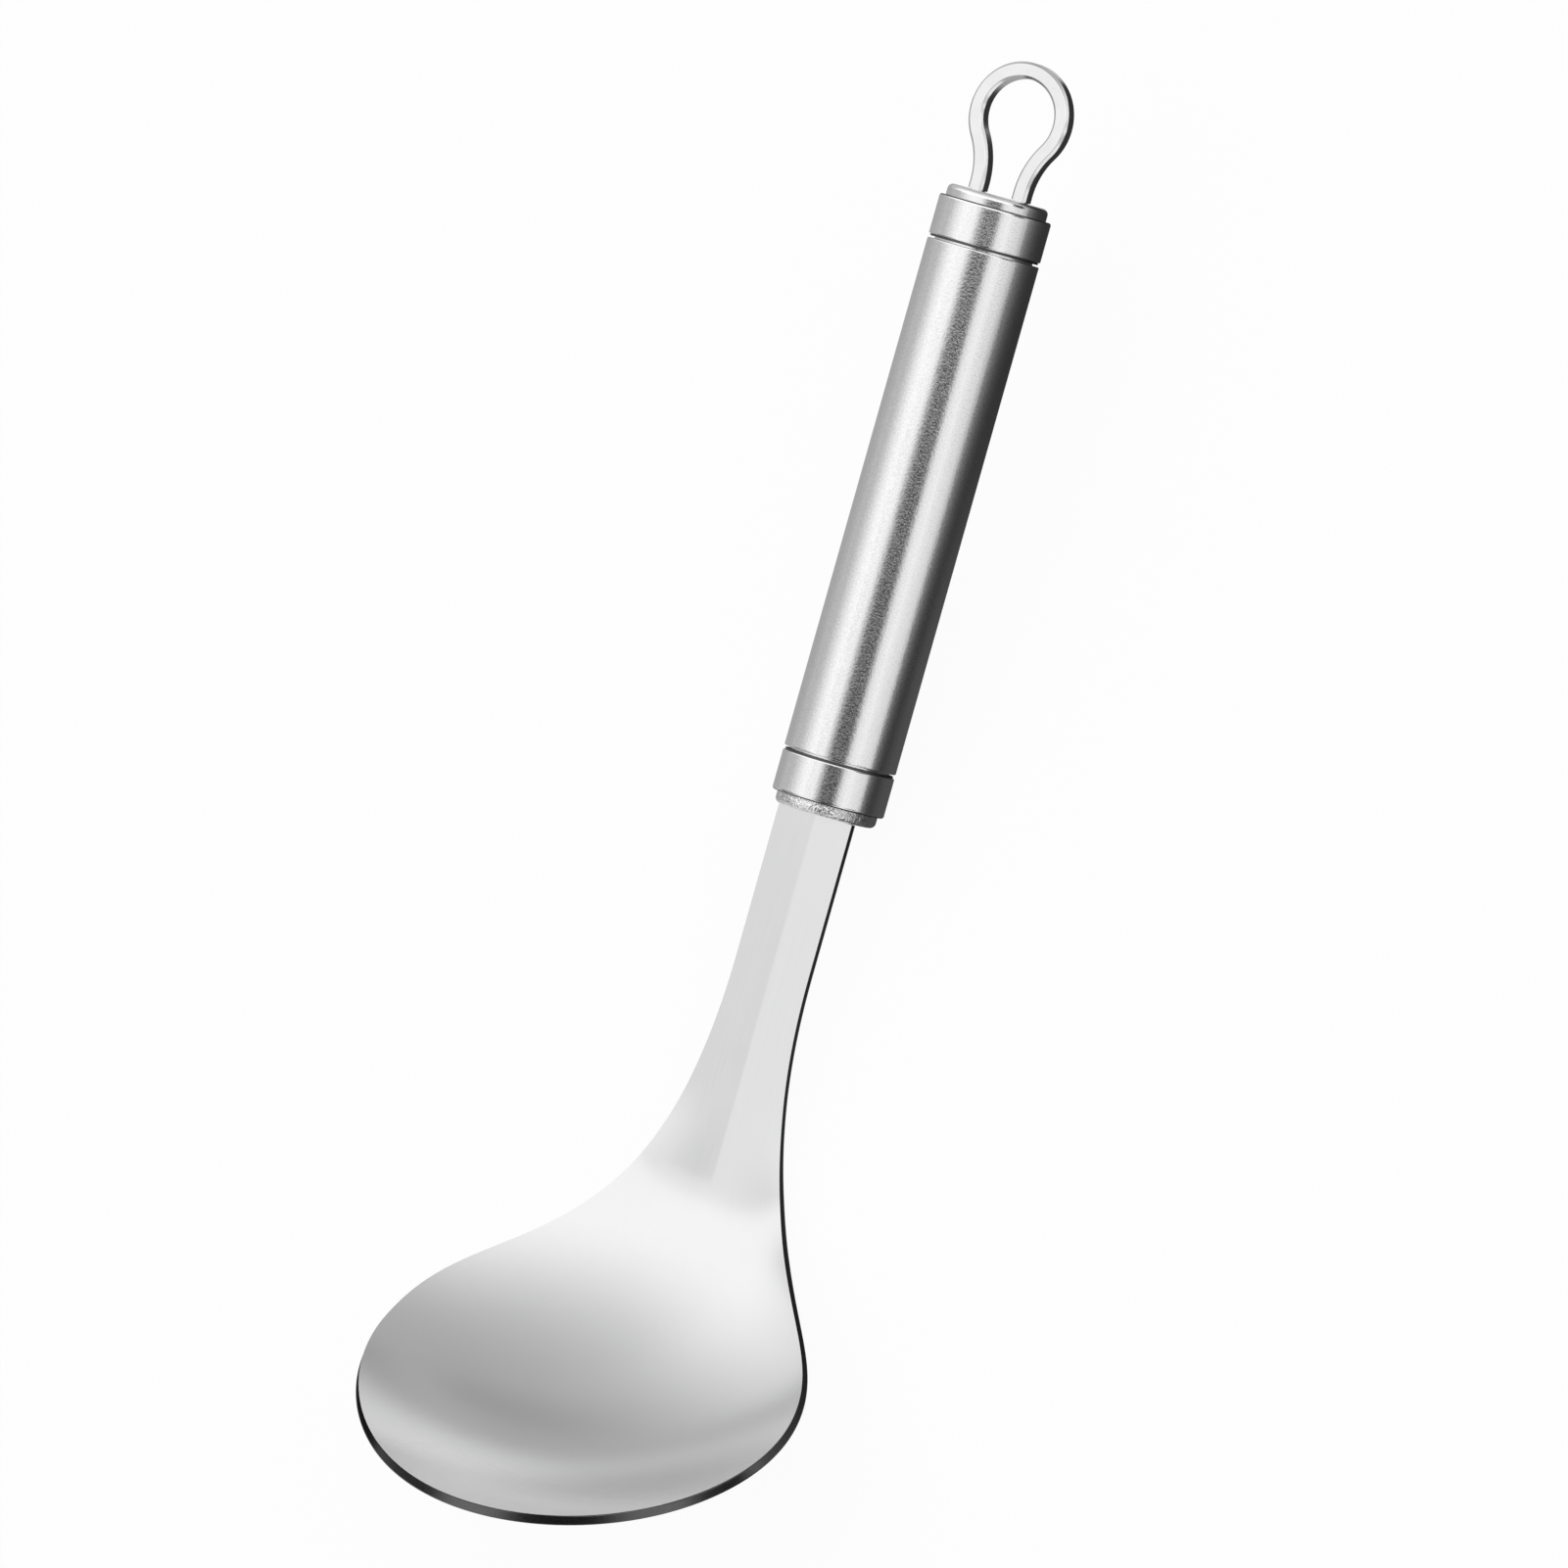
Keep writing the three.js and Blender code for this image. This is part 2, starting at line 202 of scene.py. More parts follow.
class StageSettings(bpy.types.PropertyGroup):
    """The view, the floor and the studio round the tool."""

    view_turn: angle("View turn", "Turn of the view round the handle", 27)
    view_raise: angle("View raise", "Lean of the view towards the loop", 2.3)
    view_roll: angle("View roll", "Lean of the handle in the picture", 15.76)
    distance: length("Distance", "From the tool to the camera", 2450)
    picture_width: length("Picture width", "Width that the picture shows", 244.15)
    middle_down: length("Middle down", "Picture's middle, down the handle", 47.05)
    middle_left: length("Middle left", "Picture's middle, left of the handle", 7.37)
    floor_tint: colour("Floor tint", "Colour of the floor", (0.92, 0.92, 0.92))
    floor_white: share("Floor white", "How far the floor is lifted to white", 0.95)


class Wire:
    """A shader value or vector. Arithmetic on it adds the Math or Vector Math nodes."""

    def __init__(self, tree, output):
        self.tree = tree
        self.output = output

    def calc(self, operation, *terms):
        """One Math or Vector Math node on these terms."""
        wires = [t for t in terms if isinstance(t, Wire)]
        on_vectors = any(w.output.type == "VECTOR" for w in wires)
        kind = "ShaderNodeVectorMath" if on_vectors else "ShaderNodeMath"
        sockets = dict(enumerate(terms))
        return self.tree.node(kind, {"operation": operation}, sockets)

    def __add__(self, other):
        return self.calc("ADD", self, other)

    __radd__ = __add__

    def __sub__(self, other):
        return self.calc("SUBTRACT", self, other)

    def __rsub__(self, other):
        return self.calc("SUBTRACT", other, self)

    def __mul__(self, other):
        return self.calc("MULTIPLY", self, other)

    __rmul__ = __mul__

    def dot(self, direction):
        """How far this vector runs along a direction."""
        sockets = {0: self, 1: direction}
        return self.tree.node("ShaderNodeVectorMath", {"operation": "DOT_PRODUCT"}, sockets, "Value")

    def beside(self, name):
        """Another output of the same node."""
        return Wire(self.tree, self.output.node.outputs[name])

    def step(self, low, high):
        """Goes smoothly from 0 at low to 1 at high."""
        sockets = {"Value": self, "From Min": low, "From Max": high}
        return self.tree.node("ShaderNodeMapRange", {"interpolation_type": "SMOOTHSTEP"}, sockets)

    def window(self, low, high, soft):
        """Is 1 between low and high, and goes smoothly to 0 outside them."""
        return self.step(low - soft, low + soft) * (1 - self.step(high - soft, high + soft))


class Tree:
    """The nodes of one material or world."""

    def __init__(self, owner):
        owner.use_nodes = True
        self.nodes = owner.node_tree.nodes
        self.links = owner.node_tree.links
        self.nodes.clear()

    def node(self, kind, settings=None, sockets=None, out=0):
        """Adds a node, with its settings first and then its sockets, and returns one output."""
        node = self.nodes.new(kind)
        for name, value in (settings or {}).items():
            setattr(node, name, value)
        for name, value in (sockets or {}).items():
            if isinstance(value, Wire):
                self.links.new(value.output, node.inputs[name])
            else:
                node.inputs[name].default_value = value
        return Wire(self, node.outputs[out]) if len(node.outputs) else None

    def mix(self, factor, first, second):
        """Mixes two colours, each a plain colour or a wire."""
        sockets = {0: factor, 6: opaque(first), 7: opaque(second)}
        return self.node("ShaderNodeMix", {"data_type": "RGBA"}, sockets, 2)

    def noise(self, place, scale, detail=2.0):
        """Soft random spots of about 1 / scale metres."""
        sockets = {"Vector": place, "Scale": scale, "Detail": detail}
        return self.node("ShaderNodeTexNoise", None, sockets)

    def place(self):
        """The point on the surface, in metres."""
        return self.node("ShaderNodeTexCoord", None, None, "Object")

    def on_handle(self):
        """The point on the surface in the handle's frame, in metres, with Y along the handle."""
        sockets = {
            "Vector": self.place(),
            "Location": tube_middle,
            "Rotation": (handle_lean, 0, 0),
        }
        return self.node("ShaderNodeMapping", {"vector_type": "TEXTURE"}, sockets)


def opaque(tint):
    """A plain colour with its alpha, or a wire as it is."""
    return tint if isinstance(tint, Wire) else (*tint, 1.0)


def scaled(tint, factor):
    """A colour made lighter or darker."""
    return tuple(min(1.0, channel * factor) for channel in tint)


def finish_surface(name, build):
    """A material whose shader is made by build, from a tree to a dictionary of socket values."""
    material = bpy.data.materials.new(name)
    tree = Tree(material)
    surface = tree.node("ShaderNodeBsdfPrincipled", None, build(tree))
    tree.node("ShaderNodeOutputMaterial", None, {"Surface": surface})
    return material


def bumped(tree, height, depth):
    """A normal from a height between 0 and 1, that deep in metres."""
    return tree.node("ShaderNodeBump", None, {"Height": height, "Strength": 1.0, "Distance": depth})


# Where the sheet's finish changes, in the handle's frame: dull towards the front, and painted light
# on its wall that makes it paler
DULL_FRONT = (-0.147, -0.122)
PAINTED_LIGHT_WALL_RISE = (0.028, 0.046)
PAINTED_LIGHT_WALL_SIDE = (-0.032, -0.004)


def polished_sheet(tint):
    """Bright rolled sheet: faint polishing lines and soft smears, duller at the front, with painted
    light that makes its front wall paler and less metallic.
    """

    def build(tree):
        place = tree.on_handle()
        lines = tree.noise(place * (1.0, 0.03, 1.0), 2600)
        smears = tree.noise(place, 70, 3)
        ahead = tree.node("ShaderNodeSeparateXYZ", None, {0: place}, "Y")
        front = 1 - ahead.step(*DULL_FRONT)
        wall = ahead.beside("Z").step(*PAINTED_LIGHT_WALL_RISE) * ahead.beside("X").step(*PAINTED_LIGHT_WALL_SIDE)
        dull = 0.1 + smears * 0.06 + lines * 0.03
        shade = tree.mix(lines * 0.5 + smears * 0.5, scaled(tint, 0.96), scaled(tint, 1.04))
        # Painted light: the front wall gets a lighter, less metallic base in place of the bright
        # light it receives
        shade = tree.mix(wall, shade, scaled(tint, 1.32))
        return {
            "Base Color": shade,
            "Metallic": 1 - wall * 0.6,
            "Roughness": dull + (0.25 + lines * 0.015 - dull) * front,
            "Normal": bumped(tree, lines, 0.4e-6),
        }

    return finish_surface("polished_sheet", build)


def cut_edge(tint):
    """Sheared rim of the sheet, with fine marks across it from the tool, and a near-black base colour
    that is painted shade for the dark surroundings it reflects.
    """

    def build(tree):
        place = tree.on_handle()
        marks = tree.noise(place * (1.0, 1.0, 0.12), 3800)
        # Painted shade: the rim's base colour is held near black
        shade = tree.mix(marks, scaled(tint, 0.12), scaled(tint, 0.22))
        return {
            "Base Color": shade,
            "Metallic": 1.0,
            "Roughness": 0.14 + marks * 0.1,
            "Normal": bumped(tree, marks, 2e-6),
        }

    return finish_surface("cut_edge", build)


def painted_highlight_corner(tint):
    """Corner above the cut rim with a painted highlight: a base colour far lighter than the sheet,
    with fine scratches along it.
    """

    def build(tree):
        scratches = tree.noise(tree.on_handle() * (1.0, 0.2, 1.0), 3000)
        # Painted highlight: the corner's base colour is raised to near white
        return {
            "Base Color": tree.mix(scratches, scaled(tint, 1.28), scaled(tint, 1.4)),
            "Metallic": 1.0,
            "Roughness": 0.1 + scratches * 0.08,
            "Normal": bumped(tree, scratches, 0.5e-6),
        }

    return finish_surface("painted_highlight_corner", build)


# Size and depth of the brushed grain
TUBE_GRAIN = (0.34 * MM, 7.5e-6)
RING_GRAIN = (0.32 * MM, 6.5e-6)
PLUG_GRAIN = (0.3 * MM, 5e-6)


def satin_steel(name, tint, lines_along, grain_size, depth):
    """Brushed steel: a fine speckle with faint lines along the handle or round it."""

    def build(tree):
        place = tree.on_handle()
        stretch = (1.0, 0.04, 1.0) if lines_along else (0.06, 1.0, 0.06)
        lines = tree.noise(place * stretch, 1.4 / grain_size)
        speckle = tree.noise(place, 1.0 / grain_size, 3).step(0.3, 0.7)
        grain = lines * 0.4 + speckle * 0.6
        return {
            "Base Color": tree.mix(grain, scaled(tint, 0.9), scaled(tint, 1.1)),
            "Metallic": 1.0,
            "Roughness": 0.12 + grain * 0.1,
            "Normal": bumped(tree, grain, depth),
        }

    return finish_surface(name, build)


def painted_shade_neck(tint):
    """Neck and end of a ring with painted shade: a near-black base colour in the groove and beside
    the plug, dull, with marks round it from turning.
    """

    def build(tree):
        marks = tree.noise(tree.on_handle() * (0.06, 1.0, 0.06), 5200)
        return {
            # Painted shade: near-black base colour where the groove and the ring's end lie in shade
            "Base Color": tree.mix(marks, scaled(tint, 0.08), scaled(tint, 0.2)),
            "Metallic": 1.0,
            "Roughness": 0.32 + marks * 0.16,
            "Normal": bumped(tree, marks, 6e-6),
        }

    return finish_surface("painted_shade_neck", build)


def blasted_plug(tint):
    """Plug at the blade, roughened by blasting: coarse bright and dull specks."""

    def build(tree):
        specks = tree.noise(tree.on_handle(), 2100, 3).step(0.3, 0.7)
        return {
            "Base Color": tree.mix(specks, scaled(tint, 0.8), scaled(tint, 1.15)),
            "Metallic": 1.0,
            "Roughness": 0.24 - specks * 0.1,
            "Normal": bumped(tree, specks, 60e-6),
        }

    return finish_surface("blasted_plug", build)


def drawn_wire(tint):
    """Bright drawn wire with a few dull spots."""

    def build(tree):
        place = tree.on_handle()
        spots = tree.noise(place, 420, 3)
        lines = tree.noise(place, 3600)
        return {
            "Base Color": tree.mix(spots, scaled(tint, 0.93), scaled(tint, 1.06)),
            "Metallic": 1.0,
            "Roughness": 0.12 + spots * 0.1,
            "Normal": bumped(tree, lines, 1.5e-6),
        }

    return finish_surface("drawn_wire", build)


def core_moulding(tint):
    """Dark moulded plastic with a fine eroded texture."""

    def build(tree):
        texture = tree.noise(tree.place(), 2400, 4)
        return {
            "Base Color": tree.mix(texture, scaled(tint, 0.8), scaled(tint, 1.5)),
            "Roughness": 0.55 + texture * 0.2,
            "Normal": bumped(tree, texture, 12e-6),
        }

    return finish_surface("core_moulding", build)


def as_piece(name, shape, materials, node):
    """Makes a finished piece of a closed shape in the handle's frame, to stand for a CAD node."""
    bmesh.ops.recalc_face_normals(shape, faces=shape.faces)
    # A hollow piece can still come out inside out
    if shape.calc_volume(signed=True) < 0:
        bmesh.ops.reverse_faces(shape, faces=shape.faces)
    shape.transform(HANDLE_FRAME)
    for face in shape.faces:
        face.smooth = True
    for edge in shape.edges:
        edge.smooth = edge.calc_face_angle(0) < SHARP_ANGLE
    mesh = bpy.data.meshes.new(name)
    shape.to_mesh(mesh)
    shape.free()
    for material in materials:
        mesh.materials.append(material)
    piece = bpy.data.objects.new(name, mesh)
    bpy.context.scene.collection.objects.link(piece)
    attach(piece, "root")
    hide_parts(node)


def joined_rings(rings, closed):
    """A shape lofted through rings of points. It is closed round the last ring, or capped."""
    shape = bmesh.new()
    loops = [[shape.verts.new(point) for point in ring] for ring in rings]
    pairs = list(zip(loops, loops[1:]))
    if closed:
        pairs.append((loops[-1], loops[0]))
    else:
        shape.faces.new(loops[0])
        shape.faces.new(loops[-1])
    for first, second in pairs:
        for i, corner in enumerate(first):
            shape.faces.new((first[i - 1], corner, second[i], second[i - 1]))
    return shape


def braced(outline):
    """The closed outline with points added close to the ends of its straight runs."""
    points = []
    for first, second in zip(outline, outline[1:] + outline[:1]):
        points.append(first)
        reach = math.dist(first, second)
        on_axis = first[0] == second[0] == 0
        if reach > 4 * BRACE and not on_axis:
            for part in (BRACE / reach, 1 - BRACE / reach):
                points.append(tuple(a + (b - a) * part for a, b in zip(first, second)))
    return points


def turned(profile, segments):
    """A shape turned about the handle: profile holds (radius, distance along the handle)."""
    profile = braced(profile)
    rings = []
    for i in range(segments):
        spin = math.tau * i / segments
        rings.append([Vector((r * math.sin(spin), y, r * math.cos(spin))) for r, y in profile])
    shape = joined_rings(rings, closed=True)
    bmesh.ops.remove_doubles(shape, verts=shape.verts, dist=WELD)
    bare = [edge for edge in shape.edges if not edge.link_faces]
    bmesh.ops.delete(shape, geom=bare, context="EDGES")
    return shape


EDGE_STEPS = 6
CHAMFER_STEPS = 4
PLUG_STEPS = 10


def rounded(radius, along, reach, start, end, steps=EDGE_STEPS):
    """Points on a quarter round about (radius, along), for a turned profile."""
    points = []
    for i in range(steps + 1):
        spin = start + (end - start) * i / steps
        points.append((radius + reach * math.cos(spin), along + reach * math.sin(spin)))
    return points


def smoothstep(value, low, high):
    """Goes smoothly from 0 at low to 1 at high."""
    t = min(max((value - low) / (high - low), 0.0), 1.0)
    return t * t * (3 - 2 * t)


# Narrow fits that only the shown pieces have: the ring's edge reaches into the groove, its end
# face has a thin band of painted shade, and the seams round the slot, the legs and the shoulders
# are nearly closed
GROOVE_LIP = 0.25 * MM
PAINTED_SHADE_END = 0.2 * MM
SEAM = 0.06 * MM
SHOULDER = 0.12 * MM

# Further materials of the sheet and of the rings
CUT_RIM = 1
PAINTED_HIGHLIGHT_CORNER = 2
PAINTED_SHADE_NECK = 1


class Handle:
    """Distances and radii of the handle, worked out from its settings."""

    def __init__(self, settings):
        self.tube = settings.tube_diameter / 2
        self.bore = self.tube - settings.tube_wall
        self.neck = self.bore + settings.seat_step
        self.spigot = self.bore - settings.fit_gap
        self.collar_bore = self.spigot - settings.spigot_wall
        self.seat = self.tube - settings.collar_lip
        self.plug = self.seat - settings.fit_gap
        self.tube_end = settings.tube_length / 2
        self.spigot_end = self.tube_end - settings.spigot_length
        self.neck_start = self.tube_end + settings.fit_gap
        self.collar_start = self.tube_end + settings.groove
        self.ring_start = self.collar_start - GROOVE_LIP
        self.seat_floor = self.collar_start + settings.collar_web
        self.collar_end = self.collar_start + settings.collar_length
        self.plug_back = self.seat_floor + settings.fit_gap
        self.plug_face = self.collar_end + settings.plug_proud


# The sheet's grid: steps across it, at the crease and at the rim, and rows along it
EVEN_STEPS = 30
CREASE_STEPS = (0.0, 0.12 * MM, 0.35 * MM)
RIM_STEPS_IN = (1.2 * MM, 0.55 * MM, 0.0)
TANG_ROWS = 6
SHANK_ROWS = 22
FLARE_ROWS = 96
# Steps round each edge of the rim, and the step that feels the sheet's slope
RIM_STEPS = 4
FEEL = 0.01 * MM


def widest_place(blade):
    """How far along the sheet the bowl is widest."""
    return blade.bowl_start + blade.floor_radius * blade.widest_sweep


def blade_surface(blade, start):
    """The blade's upper face: a function of the length from the front plug and the way across."""
    widest = widest_place(blade)
    slope = math.tan(blade.fold)
    offset, radius, begin = blade.shank_offset, blade.floor_radius, blade.bowl_start
    fade_end, fade = blade.crease_length, blade.crease_fade
    throat, cross = 1 / blade.throat_radius, 1 / blade.cross_radius
    dish_start, dish_end = blade.dish_start, blade.dish_end
    soft = blade.crease_round

    def face(along, across):
        turn = max(0.0, along - begin) / radius
        floor_y = -start - min(along, begin) - radius * math.sin(turn)
        floor_z = offset + radius * (1 - math.cos(turn))
        fold = slope * (1 - smoothstep(along, fade_end - fade, fade_end))
        opened = smoothstep(along, begin, widest)
        curve = throat + (cross - throat) * opened
        dish = curve / 2 * smoothstep(along, dish_start, dish_end)
        rise = fold * (math.hypot(across, soft) - soft) + dish * across**2
        return Vector((across, floor_y + rise * math.sin(turn), floor_z + rise * math.cos(turn)))

    return face


def across_steps(half_width):
    """Distances from the middle to one edge, closer together at the crease and at the rim."""
    first, last = CREASE_STEPS[-1], half_width - RIM_STEPS_IN[0]
    even = [first + (last - first) * i / EVEN_STEPS for i in range(1, EVEN_STEPS)]
    half = [*CREASE_STEPS, *even, *(half_width - inset for inset in RIM_STEPS_IN)]
    return [-x for x in reversed(half[1:])] + half


def bezier(t, a, b, c, d):
    """A point on a cubic curve through a and d."""
    u = 1 - t
    return u**3 * a + 3 * u * u * t * b + 3 * u * t * t * c + t**3 * d


def blade_rows(blade):
    """Rows of places on the sheet, each a list of (along, across), from the tang to the front."""
    rows = []

    def level(along, half_width):
        rows.append([(along, x) for x in across_steps(half_width)])

    for i in range(TANG_ROWS + 1):
        level(blade.tang_reach * (i / TANG_ROWS - 1), blade.tang_width / 2)
    half_shank, half_bowl = blade.shank_width / 2, blade.bowl_width / 2
    for i in range(SHANK_ROWS):
        level(SHOULDER + (blade.shank_length - SHOULDER) * i / SHANK_ROWS, half_shank)
    widest = widest_place(blade)
    throat = blade.shank_length + blade.throat_pull
    for i in range(FLARE_ROWS + 1):
        t = i / FLARE_ROWS
        along = bezier(t, blade.shank_length, throat, widest - blade.wing_pull, widest)
        level(along, bezier(t, half_shank, half_shank, half_bowl, half_bowl))
    # The front is half an ellipse: square rings of the grid are drawn out to its curve
    front = blade.floor_radius * (blade.floor_sweep - blade.widest_sweep)
    steps = [x / half_bowl for x in across_steps(half_bowl)]
    for a in [q for q in steps if q > CREASE_STEPS[-1] / half_bowl]:
        row = []
        for q in steps:
            ring, way = max(abs(q), a), math.atan2(a, q)
            along = widest + front * ring * math.sin(way)
            row.append((along, half_bowl * ring * math.cos(way)))
        rows.append(row)
    return rows


def blade_shape(blade, start):
    """The whole sheet as a closed shape, whose cut rim, painted dark, and the corner above it, with
    its painted highlight, have their own materials.
    """
    face = blade_surface(blade, start)

    def inward(along, across):
        run = face(along + FEEL, across) - face(along - FEEL, across)
        side = face(along, across + FEEL) - face(along, across - FEEL)
        return side.cross(run).normalized()

    rows = blade_rows(blade)
    upper = [[face(*place) for place in row] for row in rows]
    depth = [[inward(*place) for place in row] for row in rows]
    last = len(rows) - 1
    right = len(rows[0]) - 1
    first = TANG_ROWS + 1
    trail = [(i, 0) for i in range(first, last)]
    trail += [(last, j) for j in range(right + 1)]
    trail += [(i, right) for i in range(last - 1, first - 1, -1)]
    sheet = blade.sheet
    arcs = rim_arcs(trail, upper, depth, blade)
    shape = bmesh.new()
    top = [[shape.verts.new(point) for point in row] for row in upper]
    base = []
    for row, ways in zip(upper, depth):
        base.append([shape.verts.new(point + way * sheet) for point, way in zip(row, ways)])
    for (i, j), arc in zip(trail, arcs):
        top[i][j].co = arc[0]
        base[i][j].co = arc[-1]
    for i in range(last):
        for j in range(right):
            corners = ((i, j), (i, j + 1), (i + 1, j + 1), (i + 1, j))
            shape.faces.new([top[a][b] for a, b in corners])
            shape.faces.new([base[a][b] for a, b in reversed(corners)])
    chains = []
    for (i, j), arc in zip(trail, arcs):
        middle = [shape.verts.new(point) for point in arc[1:-1]]
        chains.append([top[i][j], *middle, base[i][j]])
    rim = []
    for one, two in zip(chains, chains[1:]):
        corner, *cut = strip(one, two)
        shape.faces.new(corner).material_index = PAINTED_HIGHLIGHT_CORNER
        rim += cut
    for j, chain in ((0, chains[0]), (right, chains[-1])):
        sides = [[top[i][j], base[i][j]] for i in range(first)]
        rim += [quad for one, two in zip(sides, sides[1:]) for quad in strip(one, two)]
        rim.append([*sides[-1][::-1], *chain])
    butt = list(zip(top[0], base[0]))
    rim += [quad for one, two in zip(butt, butt[1:]) for quad in strip(one, two)]
    for corners in rim:
        shape.faces.new(corners).material_index = CUT_RIM
    return shape


def strip(one, two):
    """The four-sided faces between two lines of points."""
    return [[one[k], one[k + 1], two[k + 1], two[k]] for k in range(len(one) - 1)]


def rim_arcs(trail, upper, depth, blade):
    """For each place on the rim, points over its rounded edge from the upper face to the lower."""
    spots = [upper[i][j] for i, j in trail]
    ways = [depth[i][j] for i, j in trail]
    sheet, top, low = blade.sheet, blade.rim_round, blade.rim_burr
    arcs = []
    for k, (spot, way) in enumerate(zip(spots, ways)):
        run = spots[min(k + 1, len(spots) - 1)] - spots[max(k - 1, 0)]
        out = run.cross(way).normalized()
        arc = []
        for radius, level, start in ((top, top, 0.0), (low, sheet - low, QUARTER)):
            middle = spot - out * radius + way * level
            for n in range(RIM_STEPS + 1):
                spin = start + QUARTER * n / RIM_STEPS
                arc.append(middle + (out * math.sin(spin) - way * math.cos(spin)) * radius)
        flat = [spot + way * (top + BRACE), spot + way * (sheet - low - BRACE)]
        arcs.append(arc[: RIM_STEPS + 1] + flat + arc[RIM_STEPS + 1 :])
    return arcs


def tube_shape(settings, handle):
    """The tube, with its end edges rounded."""
    edge = settings.tube_edge
    rim, stop = handle.tube - edge, handle.tube_end - edge
    profile = [(handle.bore, -handle.tube_end)]
    profile += rounded(rim, -stop, edge, -QUARTER, 0)
    profile += rounded(rim, stop, edge, 0, QUARTER)
    profile.append((handle.bore, handle.tube_end))
    return turned(profile, settings.segments)


def collar_shape(settings, handle):
    """One collar at the loop's end: spigot, neck, ring and the seat of the plug."""
    chamfer, edge = settings.collar_chamfer, settings.collar_edge
    profile = [
        (handle.collar_bore, handle.spigot_end),
        (handle.spigot, handle.spigot_end),
        (handle.spigot, handle.neck_start),
        (handle.neck, handle.neck_start),
        (handle.neck, handle.ring_start),
    ]
    rim = handle.tube - chamfer
    profile += rounded(rim, handle.ring_start + chamfer, chamfer, -QUARTER, 0, CHAMFER_STEPS)
    profile += rounded(handle.tube - edge, handle.collar_end - edge, edge, 0, QUARTER)
    profile += [
        (handle.seat, handle.collar_end),
        (handle.seat, handle.seat_floor),
        (handle.collar_bore, handle.seat_floor),
    ]
    shape = turned(profile, settings.segments)
    # Painted shade: the neck and a thin band at the ring's end take the dark material
    painted_shade_start = handle.collar_end - PAINTED_SHADE_END
    for face in shape.faces:
        along = face.calc_center_median().y
        if handle.neck_start < along < handle.ring_start or along > painted_shade_start:
            face.material_index = PAINTED_SHADE_NECK
    return shape


def plug_shape(settings, handle):
    """One plug at the loop's end, standing proud of its collar with a rounded rim."""
    edge = settings.plug_edge
    rim, stop = handle.plug - edge, handle.plug_face - edge
    profile = [(0.0, handle.plug_back), (handle.plug, handle.plug_back)]
    profile += rounded(rim, stop, edge, 0, QUARTER, PLUG_STEPS)
    profile.append((0.0, handle.plug_face))
    return turned(profile, settings.segments)


def slab(width, depth, height, middle):
    """A plain block that is cut out of a plug."""
    shape = bmesh.new()
    place = Matrix.Translation(middle) @ Matrix.Diagonal((width, depth, height, 1.0))
    bmesh.ops.create_cube(shape, size=1.0, matrix=place)
    return shape


def cut_away(shape, cutters):
    """The shape with the cutters taken out of it."""
    scene = bpy.context.scene
    solids = []
    for solid in (shape, *cutters):
        mesh = bpy.data.meshes.new("cutting")
        solid.to_mesh(mesh)
        solid.free()
        solids.append(bpy.data.objects.new("cutting", mesh))
        scene.collection.objects.link(solids[-1])
    body = solids[0]
    for cutter in solids[1:]:
        cut = body.modifiers.new("cut", "BOOLEAN")
        cut.operation = "DIFFERENCE"
        cut.solver = "EXACT"
        cut.object = cutter
    view = bpy.context.evaluated_depsgraph_get()
    result = bmesh.new()
    result.from_mesh(body.evaluated_get(view).to_mesh())
    for solid in solids:
        mesh = solid.data
        bpy.data.objects.remove(solid)
        bpy.data.meshes.remove(mesh)
    return result


# Steps round each corner of the wire, along the bend of a leg and round half the eye
WIRE_CORNER_STEPS = 3
FLARE_STEPS = 22
EYE_STEPS = 48


def section(half_width, half_thickness, bevel, radius):
    """Points (side, up) round the wire: a rectangle with bevelled and slightly rounded corners."""
    turn = QUARTER / 2
    tuck = radius * math.tan(turn / 2)
    low = (half_width - radius, half_thickness - bevel - tuck)
    high = (half_width - bevel - tuck, half_thickness - radius)
    corner = []
    for (side, up), start in ((low, 0.0), (high, turn)):
        for i in range(WIRE_CORNER_STEPS + 1):
            spin = start + turn * i / WIRE_CORNER_STEPS
            corner.append((side + radius * math.cos(spin), up + radius * math.sin(spin)))
    upper = corner + [(-side, up) for side, up in reversed(corner)]
    return braced(upper + [(-side, -up) for side, up in upper])


def keyhole(loop, foot, start):
    """Places on half the loop's middle line, as (x, y, heading), from the right leg to the top."""
    leg = loop.leg_spacing / 2
    flare_x = leg + loop.flare_radius
    rise = math.sqrt((loop.eye_radius + loop.flare_radius) ** 2 - flare_x**2)
    turn = math.atan2(rise, flare_x)
    places = [(leg, foot, QUARTER)]
    for i in range(FLARE_STEPS + 1):
        spin = math.pi - turn * i / FLARE_STEPS
        x = flare_x + loop.flare_radius * math.cos(spin)
        y = start + loop.flare_radius * math.sin(spin)
        places.append((x, y, spin - QUARTER))
    for i in range(1, EYE_STEPS + 1):
        spin = -turn + (QUARTER + turn) * i / EYE_STEPS
        x = loop.eye_radius * math.cos(spin)
        y = start + rise + loop.eye_radius * math.sin(spin)
        places.append((x, y, spin + QUARTER))
    return places


